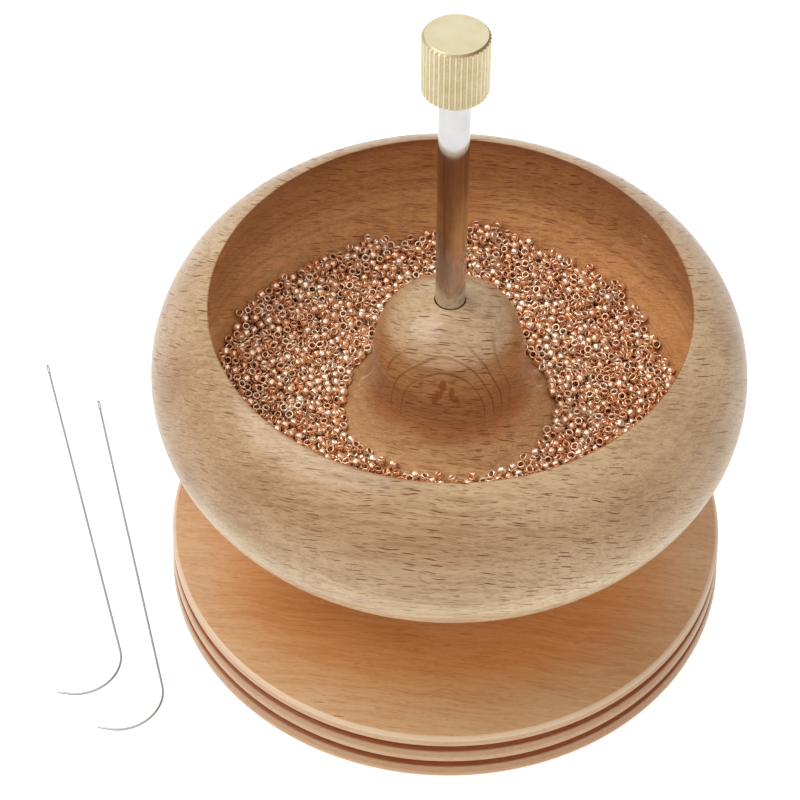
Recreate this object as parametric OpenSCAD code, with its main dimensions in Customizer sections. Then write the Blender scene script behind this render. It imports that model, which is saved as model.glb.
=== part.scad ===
// Bead spinner: a turned beech bowl of seed beads that spins on a steel rod standing in a
// grooved beech base, with a straight-knurled brass finger knob on its steel handle tube and
// two curved beading needles lying beside it.
// Millimetres, +Z up. The origin is the centre of the underside, on the spin axis.

/* [Base] */
// Radius of the base at its lower edge
base_r = 68.4; // [66:0.2:70]
// Radius of the base at its top lip
base_lip_r = 67.5; // [65:0.1:67.5]
// Height of the top lip above the table
base_lip_z = 14.2; // [13:0.2:16]
// Rise of the gently domed top from the lip to the middle
base_dome_rise = 3.2; // [2:0.2:4]
// Radius of the eased edge along the top lip
base_edge_round = 0.9; // [0.4:0.1:1.4]
// Height of the lower groove's middle above the table
groove_low_z = 4.7; // [4.2:0.1:5]
// Height from the lower groove to the upper groove
groove_pitch = 5.6; // [5:0.1:6]
// Width of each turned groove at its mouth
groove_w = 2.3; // [1.6:0.1:2.8]
// Depth of each turned groove
groove_deep = 2.2; // [1.4:0.1:3]
// Radius of the rounded bottom of each groove
groove_round = 0.45; // [0.3:0.05:0.6]
// Chamfer along the edges of the grooves and the lower edge
groove_ease = 0.35; // [0.2:0.05:0.5]
// Radius of the pedestal that carries the bowl
pedestal_r = 15; // [13:0.5:18]
// Rise of the pedestal's flat top above the lip
pedestal_rise = 18.2; // [16:0.1:22]
// Radius of the hollow sweep at the foot of the pedestal
pedestal_sweep = 12; // [8:0.5:13]
// Chamfer on the pedestal's top edge
pedestal_ease = 0.8; // [0.4:0.1:1.5]

/* [Felt pad] */
// Width of wood that shows round the felt pad
pad_inset = 6.4; // [4:0.2:14]
// Thickness of the felt pad
pad_t = 1.4; // [1.2:0.1:2]
// Depth of the recess that the pad is glued into
pad_recess = 1; // [0.6:0.1:1]

/* [Spindle and nut] */
// Diameter of the steel rod that stands in the base
spindle_d = 5; // [4:0.1:5]
// Length of the rod's end that stands out of the nut
spindle_end = 0.9; // [0.5:0.1:1.4]
// Chamfer on both ends of the rod
spindle_ease = 0.6; // [0.3:0.1:1]
// Diameter of the rod's shoulder in the top of the pedestal
shoulder_d = 9.5; // [8:0.5:12]
// Thickness of the rod's shoulder
shoulder_t = 2; // [1.5:0.5:3]
// Radius of the counterbore for the nut
counterbore_r = 9.5; // [9:0.5:12]
// Free height between the felt pad and the nut
nut_room = 1.7; // [1.5:0.1:2.2]
// Outside diameter of the steel washer over the nut
washer_d = 15; // [12:0.5:17]
// Thickness of the steel washer
washer_t = 1.1; // [0.8:0.1:1.2]
// Width of the nut across its flats
nut_af = 8; // [7:0.5:10]
// Height of the nut
nut_h = 4; // [3:0.5:4.5]
// Chamfer on the corners of the nut
nut_ease = 0.5; // [0.3:0.1:0.7]
// Radial clearance of everything that turns on the rod
run_gap = 0.06; // [0.03:0.01:0.08]

/* [Thrust washer and bush] */
// Outside diameter of the nylon thrust washer on the pedestal
thrust_d = 14; // [12:0.5:18]
// Thickness of the nylon thrust washer
thrust_t = 1; // [0.8:0.1:1.2]
// Clearance between the thrust washer and the bush above it
thrust_gap = 0.1; // [0.05:0.05:0.2]
// Outside diameter of the bush's flange under the bowl
bush_flange_d = 17; // [14:0.5:20]
// Outside diameter of the bush's sleeve inside the bowl
bush_d = 9; // [8:0.5:10]
// Thickness of the bush's flange
bush_flange_t = 1.38; // [1:0.02:2]
// Length of the bush's sleeve inside the bowl
bush_len = 11.1; // [8:0.1:14]

/* [Bowl outside] */
// Radius of the flat foot under the bowl
bowl_foot_r = 26; // [24:0.5:28]
// Slope of the underside where it leaves the foot, in degrees
foot_slope = 2.1; // [1:0.1:4]
// Radius of the underside curve
under_arc_r = 52.4; // [50:0.2:54]
// Turn of the underside curve, in degrees
under_turn = 43; // [41:0.5:45]
// Radius of the belly curve
belly_arc_r = 24.4; // [23.5:0.1:25.5]
// Turn of the belly curve, in degrees
belly_turn = 70.2; // [69:0.2:71]
// Radius of the shoulder curve
shoulder_arc_r = 21.1; // [20:0.1:22]
// Turn of the shoulder curve, in degrees
shoulder_turn = 40.7; // [39:0.1:42]
// Radius of the rolled rim
rim_arc_r = 4.1; // [3.5:0.1:5]
// Turn of the rolled rim, in degrees
rim_turn = 20; // [16:0.5:22]

/* [Bowl inside] */
// Thickness of the bowl's side at its widest
side_t = 8.82; // [8:0.02:10]
// Drop from the top of the rim to its crisp inner edge
rim_drop = 0.1; // [0.05:0.05:0.4]
// Radius of the undercut inner wall curve
wall_arc_r = 29.03; // [28:0.01:30]
// Angle below level at which the wall runs into the corner curve
wall_end = 40; // [35:1:45]
// Radius of the curve between the wall and the trough's floor
corner_arc_r = 14.76; // [13:0.02:16]
// Width of the trough's level floor, between the corner curve and the hub's flare
floor_flat = 1.35; // [0.6:0.05:3]

/* [Hub] */
// Radius of the hub at its neck
neck_r = 17.6; // [17:0.1:18.5]
// Radius of the swelling curve from the neck to the shoulder
neck_arc_r = 28; // [24:0.5:32]
// Radius of the hub's rounded shoulder
hub_round = 5; // [4:0.2:6]
// Radius of the domed top of the hub
crown_arc_r = 20; // [18:0.5:24]
// Height of the hub's top on the axis above the foot
crown_up = 53.76; // [52.5:0.02:54.5]
// Radial width of the relief round the tube at the top of the hub
relief_gap = 0.35; // [0.2:0.05:0.6]
// Depth of the relief
relief_deep = 3; // [2:0.5:5]

/* [Handle tube and knob] */
// Outside diameter of the polished handle tube
tube_d = 6.8; // [6.6:0.1:7]
// Length of tube that shows between the hub and the knob
tube_show = 59.56; // [50:0.02:70]
// Length of tube inside the knob
tube_in_knob = 5.8; // [4:0.1:8]
// Radius of the knob over its ridges
knob_r = 7.06; // [6.6:0.02:7.6]
// Height of the knob
knob_h = 14.2; // [12:0.2:18]
// Number of straight flutes round the knob
flute_count = 38; // [30:1:40]
// Radius of each flute
flute_r = 0.4; // [0.3:0.02:0.44]
// Distance of the flute's centre line outside the knob's surface
flute_out = 0.06; // [0:0.02:0.1]
// Chamfer at the top edge of the knob
knob_top_ease = 0.62; // [0.5:0.02:0.8]
// Chamfer at the bottom edge of the knob
knob_low_ease = 0.4; // [0.2:0.05:0.6]
// Height of the ball's room above the tube's end
ball_room = 1.08; // [0.6:0.02:2]
// Play between the ball, the rod's tip and the knob
ball_play = 0.03; // [0.02:0.01:0.05]

/* [Seed beads] */
// Depth of the bead pile above the trough's floor, at the hub
pile_hub_up = 8; // [5:0.2:12]
// Depth of the bead pile above the trough's floor, at the wall
pile_wall_up = 9.4; // [7:0.2:14]
// Gap between the pile and the wood round it
pile_gap = 0.3; // [0.2:0.05:0.6]
// Outside diameter of a seed bead
bead_d = 2.06; // [1.8:0.02:2.2]
// Diameter of the hole through a bead
bead_hole = 1; // [0.8:0.05:1.1]
// Height of the beads that lie on top of the pile, over its surface
bead_rise = 1; // [0.8:0.05:1.2]
// Rounding along the edges of a bead
bead_ease = 0.3; // [0.2:0.02:0.4]
// Rows of beads drawn on top of the pile
bead_rows = 5; // [3:1:6]
// Distance between the beads of a row
bead_step = 7.5; // [7:0.5:12]

/* [Needles] */
// Diameter of the needle wire
wire_d = 0.56; // [0.5:0.02:0.7]
// Length of the first needle's straight run
needle_a_run = 99.4; // [90:0.2:104]
// Length of the second needle's straight run
needle_b_run = 95.7; // [90:0.2:104]
// Inner bend radius of the hook, measured to the wire's centre
hook_r = 10; // [8:0.2:12]
// Turn of the hook, in degrees
hook_turn = 115; // [100:1:125]
// Length of the straight run after the hook
hook_tail = 1.4; // [1:0.1:2]
// Length of the ground point at the end
point_len = 1.6; // [1.4:0.1:3]
// Diameter of the blunt end of the point
point_d = 0.36; // [0.16:0.02:0.4]
// Length of the flattened eye
eye_len = 3.2; // [3:0.1:5]
// Width of the flattened eye
eye_w = 0.7; // [0.66:0.02:1]
// Width of the slot through the eye
eye_slot = 0.24; // [0.2:0.02:0.3]
// Thickness of the flattened eye
eye_t = 0.42; // [0.36:0.02:0.5]
// Distance from the base's edge to the start of the first needle's hook
needle_off = 17.14; // [15:0.02:24]
// Angle of that point round the base, from the left side towards the front, in degrees
needle_round = 24.08; // [18:0.02:28]
// Heading of the first needle's straight run, in degrees
needle_turn = -71.8; // [-75:0.1:-68]
// Distance of the second needle's hook ahead of the first one's, along the first needle
pair_ahead = 13.12; // [11:0.02:16]
// Distance of the second needle beside the first, towards the base
pair_beside = 7.58; // [6:0.02:9]
// Turn of the second needle from the first, in degrees
pair_turn = 1.9; // [0:0.1:3]

/* [Hidden] */
$fn = 96;

// Inside diameter of everything that turns on the rod
slide_d = spindle_d + 2 * run_gap;

// Radius of the felt pad
pad_r = base_r - pad_inset;

// Heights in the base, from the table up
base_low_z = pad_t - pad_recess;
nut_low_z = pad_t + nut_room;
spindle_low_z = nut_low_z - spindle_end;
washer_low_z = nut_low_z + nut_h;
counterbore_z = washer_low_z + washer_t;
pedestal_z = base_lip_z + pedestal_rise;

// Heights of the bowl, which stands on the thrust washer by way of the bush
thrust_top_z = pedestal_z + thrust_t;
bush_low_z = thrust_top_z + thrust_gap;
bowl_foot_z = bush_low_z + bush_flange_t;
bush_top_z = bowl_foot_z + bush_len;
crown_z = bowl_foot_z + crown_up;

// Heights of the tube and the knob, and of the ball between the knob and the rod's tip
knob_low_z = crown_z + tube_show;
knob_top_z = knob_low_z + knob_h;
tube_top_z = knob_low_z + tube_in_knob;
ball_room_z = tube_top_z + ball_room;
ball_r = spindle_d / 2;
ball_z = ball_room_z - ball_play - ball_r;
spindle_tip_z = ball_z - ball_r - ball_play;

// Outline of the base: the domed top touches the rounding of the lip and the pedestal's sweep
lip_x = base_lip_r - base_edge_round;
dome_r = (base_lip_r * base_lip_r + base_dome_rise * base_dome_rise) / (2 * base_dome_rise);
dome_c = [0, base_lip_z + base_dome_rise - dome_r];
lip_c = [lip_x, dome_c[1] + sqrt(pow(dome_r - base_edge_round, 2) - lip_x * lip_x)];
lip_angle = atan2(lip_c[1] - dome_c[1], lip_c[0]);
sweep_x = pedestal_r + pedestal_sweep;
sweep_c = [sweep_x, dome_c[1] + sqrt(pow(dome_r + pedestal_sweep, 2) - sweep_x * sweep_x)];
sweep_angle = atan2(sweep_c[1] - dome_c[1], sweep_c[0]);

// Outline of the bowl: each curve starts where the last one ends, heading the same way.
// Headings are in degrees above level, walking outward and up.
head_1 = foot_slope;
head_2 = head_1 + under_turn;
head_3 = head_2 + belly_turn;
head_4 = head_3 + shoulder_turn;
head_5 = head_4 + rim_turn;
foot_pt = [bowl_foot_r, bowl_foot_z];
under_c = turn_centre(foot_pt, under_arc_r, head_1);
belly_pt = turn_point(under_c, under_arc_r, head_2);
belly_c = turn_centre(belly_pt, belly_arc_r, head_2);
shoulder_pt = turn_point(belly_c, belly_arc_r, head_3);
shoulder_c = turn_centre(shoulder_pt, shoulder_arc_r, head_3);
rim_pt = turn_point(shoulder_c, shoulder_arc_r, head_4);
rim_c = turn_centre(rim_pt, rim_arc_r, head_4);
rim_top = turn_point(rim_c, rim_arc_r, head_5);

// Outline of the trough: the wall curve starts at the rim's inner edge and leaves the side its
// thickness, and the corner curve, the floor and the flare lead on from it to the hub's neck
wall_x = belly_c[0] + belly_arc_r - side_t - wall_arc_r;
mouth_angle = acos((rim_top[0] - wall_x) / wall_arc_r);
wall_c = [wall_x, rim_top[1] - rim_drop - wall_arc_r * sin(mouth_angle)];
corner_c = ray(wall_c, wall_arc_r - corner_arc_r, -wall_end);
floor_z = corner_c[1] - corner_arc_r;
flare_x = corner_c[0] - floor_flat;
flare_arc_r = flare_x - neck_r;
flare_c = [flare_x, floor_z + flare_arc_r];

// Outline of the hub: the shoulder curve touches the neck curve and the crown curve
neck_c = [neck_r - neck_arc_r, flare_c[1]];
crown_c = [0, crown_z - crown_arc_r];
hub_c = meet(neck_c, neck_arc_r - hub_round, crown_c, crown_arc_r - hub_round);
neck_angle = atan2(hub_c[1] - neck_c[1], hub_c[0] - neck_c[0]);
crown_angle = atan2(hub_c[1] - crown_c[1], hub_c[0] - crown_c[0]);
relief_r = tube_d / 2 + relief_gap;
relief_angle = acos(relief_r / crown_arc_r);

// Level top of the bead pile, at the hub and at the wall
pile_hub_z = floor_z + pile_hub_up;
pile_wall_z = floor_z + pile_wall_up;
// Inner and outer edge of that top
pile_in_r = flare_c[0] - sqrt(pow(flare_arc_r - pile_gap, 2) - pow(flare_c[1] - pile_hub_z, 2));
pile_out_r = wall_c[0] + sqrt(pow(wall_arc_r - pile_gap, 2) - pow(wall_c[1] - pile_wall_z, 2));

// Steps along a curve, in degrees, and the shortest step along a small one
arc_step = 4;
arc_chord = 0.3;
// Step between the needle's lengths, so that each one ends inside the next
wire_step = 0.005;
wire_lap = 0.05;

// Point at distance r from c, at angle a
function ray(c, r, a) = [c[0] + r * cos(a), c[1] + r * sin(a)];
// Points along a curve after its first point, from angle a0 to a1
function arc(c, r, a0, a1) =
    let (turn = abs(a1 - a0), n = max(2, ceil(min(turn / arc_step, turn * r * PI / 180 / arc_chord))))
    [for (i = [1 : n]) ray(c, r, a0 + (a1 - a0) * i / n)];
// Centre of a left-hand curve that starts at p with heading h
function turn_centre(p, r, h) = [p[0] - r * sin(h), p[1] + r * cos(h)];
// Point on a left-hand curve where its heading is h
function turn_point(c, r, h) = [c[0] + r * sin(h), c[1] - r * cos(h)];
// Outer crossing of two circles
function meet(a, ra, b, rb) =
    let (d = norm(b - a), u = (b - a) / d, k = (d * d + ra * ra - rb * rb) / (2 * d))
    a + k * u + sqrt(ra * ra - k * k) * [abs(u[1]), abs(u[0])];

// Round bar on the axis between two heights
module bar(d, z0, z1) {
    translate([0, 0, z0])
        cylinder(h = z1 - z0, d = d);
}

module ring(outer, inner, z0, z1) {
    difference() {
        bar(outer, z0, z1);
        bar(inner, z0 - 1, z1 + 1);
    }
}

// Outside of the base at a height, between its lower edge and its top lip
function base_side(z) = base_r + (base_lip_r - base_r) * (z - base_low_z) / (base_lip_z - base_low_z);

// Points up through one turned groove: eased edges, slanting flanks and a rounded bottom
function groove(z) =
    let (half = groove_w / 2, c = [base_side(z) - groove_deep + groove_round, z])
    concat(
        [[base_side(z - half), z - half],
         [base_side(z - half) - groove_ease, z - half + groove_ease],
         ray(c, groove_round, 240)],
        arc(c, groove_round, 240, 120),
        [[base_side(z + half) - groove_ease, z + half - groove_ease],
         [base_side(z + half), z + half]]
    );

module base() {
    bore_r = spindle_d / 2;
    color([0.74, 0.5, 0.31])
        rotate_extrude()
            polygon(concat(
                [[bore_r, counterbore_z],
                 [counterbore_r, counterbore_z],
                 [counterbore_r, pad_t],
                 [pad_r, pad_t],
                 [pad_r, base_low_z],
                 [base_r - groove_ease, base_low_z],
                 [base_r, base_low_z + groove_ease]],
                groove(groove_low_z),
                groove(groove_low_z + groove_pitch),
                [ray(lip_c, base_edge_round, 0)],
                arc(lip_c, base_edge_round, 0, lip_angle),
                [for (i = [1 : 7]) ray(dome_c, dome_r, lip_angle + (sweep_angle - lip_angle) * i / 8)],
                [ray(sweep_c, pedestal_sweep, sweep_angle - 180)],
                arc(sweep_c, pedestal_sweep, sweep_angle - 180, -180),
                [[pedestal_r, pedestal_z - pedestal_ease],
                 [pedestal_r - pedestal_ease, pedestal_z],
                 [shoulder_d / 2, pedestal_z],
                 [shoulder_d / 2, pedestal_z - shoulder_t],
                 [bore_r, pedestal_z - shoulder_t]]
            ));
}

module base_pad() {
    color([0.25, 0.25, 0.26])
        bar(2 * pad_r, 0, pad_t);
}

module spindle() {
    color([0.7, 0.71, 0.73])
        union() {
            rotate_extrude()
                polygon([
                    [0, spindle_low_z],
                    [spindle_d / 2 - spindle_ease, spindle_low_z],
                    [spindle_d / 2, spindle_low_z + spindle_ease],
                    [spindle_d / 2, pedestal_z - shoulder_t],
                    [shoulder_d / 2, pedestal_z - shoulder_t],
                    [shoulder_d / 2, pedestal_z],
                    [spindle_d / 2, pedestal_z],
                    [spindle_d / 2, spindle_tip_z - spindle_ease],
                    [spindle_d / 2 - spindle_ease, spindle_tip_z],
                    [0, spindle_tip_z]
                ]);
        }
}

module spindle_washer() {
    color([0.72, 0.73, 0.75])
        ring(washer_d, spindle_d, washer_low_z, counterbore_z);
}

module spindle_nut() {
    corner_r = nut_af / sqrt(3);
    color([0.68, 0.69, 0.71])
        difference() {
            intersection() {
                translate([0, 0, nut_low_z])
                    cylinder(h = nut_h, r = corner_r, $fn = 6);
                rotate_extrude()
                    polygon([
                        [0, nut_low_z],
                        [corner_r - nut_ease, nut_low_z],
                        [corner_r + nut_ease, nut_low_z + nut_ease],
                        [corner_r + nut_ease, washer_low_z - nut_ease],
                        [corner_r - nut_ease, washer_low_z],
                        [0, washer_low_z]
                    ]);
            }
            bar(spindle_d, 0, counterbore_z);
        }
}

module thrust_washer() {
    color([0.93, 0.92, 0.88])
        ring(thrust_d, slide_d, pedestal_z, thrust_top_z);
}

// Bowl and hub in one turning: foot, outside, rim, trough, hub, relief and bores
module bowl() {
    color([0.87, 0.76, 0.62])
        rotate_extrude()
            polygon(concat(
                [[bush_d / 2, bowl_foot_z],
                 foot_pt],
                arc(under_c, under_arc_r, head_1 - 90, head_2 - 90),
                arc(belly_c, belly_arc_r, head_2 - 90, head_3 - 90),
                arc(shoulder_c, shoulder_arc_r, head_3 - 90, head_4 - 90),
                arc(rim_c, rim_arc_r, head_4 - 90, head_5 - 90),
                [ray(wall_c, wall_arc_r, mouth_angle)],
                arc(wall_c, wall_arc_r, mouth_angle, -wall_end),
                arc(corner_c, corner_arc_r, -wall_end, -90),
                [[flare_c[0], floor_z]],
                arc(flare_c, flare_arc_r, -90, -180),
                arc(neck_c, neck_arc_r, 0, neck_angle),
                arc(hub_c, hub_round, neck_angle, crown_angle),
                arc(crown_c, crown_arc_r, crown_angle, relief_angle),
                [[relief_r, crown_z - relief_deep],
                 [tube_d / 2, crown_z - relief_deep],
                 [tube_d / 2, bush_top_z],
                 [bush_d / 2, bush_top_z]]
            ));
}

module lower_bush() {
    color([0.82, 0.67, 0.36])
        difference() {
            union() {
                bar(bush_flange_d, bush_low_z, bowl_foot_z);
                bar(bush_d, bush_low_z, bush_top_z);
            }
            bar(slide_d, 0, crown_z);
        }
}

module handle_tube() {
    color([0.8, 0.8, 0.82])
        ring(tube_d, slide_d, bush_top_z, tube_top_z);
}

// Knob section with straight flutes
module knob_flutes() {
    difference() {
        circle(knob_r);
        for (i = [0 : flute_count - 1])
            rotate(i * 360 / flute_count)
                translate([knob_r + flute_out, 0])
                    circle(flute_r);
    }
}

module knob() {
    color([0.9, 0.82, 0.6])
        difference() {
            intersection() {
                translate([0, 0, knob_low_z])
                    linear_extrude(knob_top_z - knob_low_z)
                        knob_flutes();
                rotate_extrude()
                    polygon([
                        [0, knob_low_z],
                        [knob_r - knob_low_ease, knob_low_z],
                        [knob_r, knob_low_z + knob_low_ease],
                        [knob_r, knob_top_z - knob_top_ease],
                        [knob_r - knob_top_ease, knob_top_z],
                        [0, knob_top_z]
                    ]);
            }
            bar(tube_d, 0, tube_top_z);
            bar(slide_d, 0, ball_room_z);
        }
}

module pivot_ball() {
    color([0.78, 0.79, 0.81])
        translate([0, 0, ball_z])
            sphere(ball_r);
}

// Body of the pile of loose beads: it fills the trough, level by the hub and rising to the wall
module pile_body() {
    hub_r = flare_arc_r - pile_gap;
    bend_r = corner_arc_r - pile_gap;
    side_r = wall_arc_r - pile_gap;
    hub_angle = -180 + asin((flare_c[1] - pile_hub_z) / hub_r);
    side_angle = asin((pile_wall_z - wall_c[1]) / side_r);
    rotate_extrude()
        polygon(concat(
            [ray(flare_c, hub_r, hub_angle)],
            arc(flare_c, hub_r, hub_angle, -90),
            [[corner_c[0], floor_z + pile_gap]],
            arc(corner_c, bend_r, -90, -wall_end),
            arc(wall_c, side_r, -wall_end, side_angle),
            [[flare_c[0], pile_hub_z]]
        ));
}

// Height of the pile's top at a radius
function pile_z(r) =
    pile_hub_z + (pile_wall_z - pile_hub_z) * max(0, r - flare_c[0]) / (pile_out_r - flare_c[0]);

// Bead lying on the pile, its hole upright and its foot sunk between the beads under it
module top_bead() {
    rotate_extrude()
        polygon([
            [bead_hole / 2, -bead_rise],
            [bead_d / 2, -bead_rise],
            [bead_d / 2, bead_rise - bead_ease],
            [bead_d / 2 - bead_ease, bead_rise],
            [bead_hole / 2, bead_rise]
        ]);
}

// Ring of loose beads in the trough, drawn as one closed form with beads lying on it in rows
module seed_beads() {
    row_w = (pile_out_r - pile_in_r) / bead_rows;
    color([0.83, 0.55, 0.42])
        union() {
            pile_body();
            for (row = [0 : bead_rows - 1]) {
                row_r = pile_in_r + (row + 0.5) * row_w;
                count = floor(2 * PI * row_r / bead_step);
                for (i = [0 : count - 1])
                    rotate((i + row / bead_rows) * 360 / count)
                        translate([row_r, 0, pile_z(row_r)])
                            top_bead();
            }
        }
}

// Needle lying on the table: hook start at the origin, straight run along -X, hook turning right
module needle(run) {
    wire_r = wire_d / 2;
    lap_turn = wire_lap / hook_r * 180 / PI;
    translate([0, 0, wire_r]) {
        translate([-run + eye_len - eye_w / 2, 0, 0])
            rotate([0, 90, 0])
                cylinder(h = run - eye_len + eye_w / 2, r = wire_r);
        translate([0, -hook_r, 0]) {
            rotate([0, 0, 90 - hook_turn])
                rotate_extrude(angle = hook_turn + lap_turn)
                    translate([hook_r, 0])
                        circle(wire_r - wire_step);
            rotate([0, 0, -hook_turn])
                translate([-wire_lap, hook_r, 0])
                    rotate([0, 90, 0])
                        needle_point(wire_r - 2 * wire_step);
        }
        needle_eye(run);
    }
}

// Straight tail of the hook with its ground point
module needle_point(r) {
    rotate_extrude()
        polygon([
            [0, 0],
            [r, 0],
            [r, wire_lap + hook_tail],
            [point_d / 2, wire_lap + hook_tail + point_len],
            [0, wire_lap + hook_tail + point_len]
        ]);
}

// Flattened eye with a slot for the thread
module needle_eye(run) {
    slot_len = eye_len - eye_w;
    translate([-run, 0, -eye_t / 2])
        linear_extrude(eye_t)
            difference() {
                rounded_bar(eye_w, eye_len);
                translate([(eye_w - eye_slot) / 2, 0])
                    rounded_bar(eye_slot, slot_len);
            }
}

// Bar with half-round ends, starting at the origin and running along +X
module rounded_bar(w, len) {
    translate([w / 2, -w / 2])
        square([len - w, w]);
    translate([w / 2, 0])
        circle(w / 2);
    translate([len - w / 2, 0])
        circle(w / 2);
}

// Place of the pair of needles, beside the base
module beside_base() {
    rotate(180 + needle_round)
        translate([base_r + needle_off, 0, 0])
            rotate(needle_turn - 180 - needle_round)
                children();
}

module needle_a() {
    color([0.62, 0.63, 0.65])
        beside_base()
            needle(needle_a_run);
}

module needle_b() {
    color([0.62, 0.63, 0.65])
        beside_base()
            translate([pair_ahead, pair_beside, 0])
                rotate(-pair_turn)
                    needle(needle_b_run);
}

base();
base_pad();
spindle();
spindle_washer();
spindle_nut();
thrust_washer();
bowl();
lower_bush();
handle_tube();
knob();
pivot_ball();
seed_beads();
needle_a();
needle_b();
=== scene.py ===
import math

import bmesh
import bpy
import numpy as np
from mathutils import Matrix, Vector


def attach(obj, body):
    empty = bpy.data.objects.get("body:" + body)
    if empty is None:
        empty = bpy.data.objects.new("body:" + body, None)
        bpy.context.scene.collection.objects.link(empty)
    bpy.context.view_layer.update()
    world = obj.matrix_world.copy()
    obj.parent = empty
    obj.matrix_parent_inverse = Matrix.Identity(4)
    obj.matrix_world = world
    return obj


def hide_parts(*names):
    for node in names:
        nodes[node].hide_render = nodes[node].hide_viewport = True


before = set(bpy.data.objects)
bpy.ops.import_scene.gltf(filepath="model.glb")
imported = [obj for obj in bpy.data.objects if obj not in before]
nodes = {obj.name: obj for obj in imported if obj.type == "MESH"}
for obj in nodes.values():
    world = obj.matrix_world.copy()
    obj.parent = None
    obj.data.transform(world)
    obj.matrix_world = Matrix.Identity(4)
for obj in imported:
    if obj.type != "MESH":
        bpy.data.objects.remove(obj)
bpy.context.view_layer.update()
scene = bpy.context.scene
MM = 0.001

# Camera, solved from the turned circles in the photograph, in metres and radians

FOCAL_PX, FRAME_PX, SENSOR = 2203.52, 800, 36
CAM_AWAY, CAM_LIFT, CAM_AIM_Z = 0.51726, 0.8276, 0.05452
CAM_YAW, CAM_ROLL = -0.0217, 0.0238
NEAREST = 0.01


def make_camera():
    place = Vector((0, -CAM_AWAY * math.cos(CAM_LIFT), CAM_AIM_Z + CAM_AWAY * math.sin(CAM_LIFT)))
    ahead = Vector((0, math.cos(CAM_LIFT), -math.sin(CAM_LIFT)))
    up = Vector((0, math.sin(CAM_LIFT), math.cos(CAM_LIFT)))
    right = Vector((1, 0, 0))
    ahead, right = (
        math.cos(CAM_YAW) * ahead + math.sin(CAM_YAW) * right,
        math.cos(CAM_YAW) * right - math.sin(CAM_YAW) * ahead,
    )
    right, up = (
        math.cos(CAM_ROLL) * right + math.sin(CAM_ROLL) * up,
        -math.sin(CAM_ROLL) * right + math.cos(CAM_ROLL) * up,
    )
    cam = bpy.data.cameras.new("camera")
    cam.sensor_width = SENSOR
    cam.lens = FOCAL_PX / FRAME_PX * SENSOR
    cam.clip_start = NEAREST
    ob = bpy.data.objects.new("camera", cam)
    stand = Matrix.Identity(4)
    for i in range(3):
        stand[i][0], stand[i][1], stand[i][2], stand[i][3] = right[i], up[i], -ahead[i], place[i]
    ob.matrix_world = stand
    scene.collection.objects.link(ob)
    scene.camera = ob


make_camera()

# Node helpers


class Nodes:
    """A small builder for a node tree. An input takes a socket or a plain value."""

    def __init__(self, owner):
        owner.use_nodes = True
        self.tree = owner.node_tree
        self.tree.nodes.clear()

    def put(self, socket, value):
        if isinstance(value, bpy.types.NodeSocket):
            self.tree.links.new(value, socket)
        else:
            socket.default_value = value

    def node(self, kind, named=None, **settings):
        """A node with its settings, and with the inputs given by name or number in named."""
        made = self.tree.nodes.new(kind)
        for key, value in settings.items():
            setattr(made, key, value)
        for key, value in (named or {}).items():
            self.put(made.inputs[key], value)
        return made

    def math(self, operation, *values, clamp=False):
        made = self.node("ShaderNodeMath", dict(enumerate(values)), operation=operation, use_clamp=clamp)
        return made.outputs[0]

    def product(self, *factors):
        out = factors[0]
        for factor in factors[1:]:
            out = self.math("MULTIPLY", out, factor)
        return out

    def scaled(self, value, factor, add):
        return self.math("MULTIPLY_ADD", value, factor, add)

    def length(self, *parts):
        squares = [self.math("POWER", part, 2.0) for part in parts]
        return self.math("SQRT", self.math("ADD", *squares))


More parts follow.
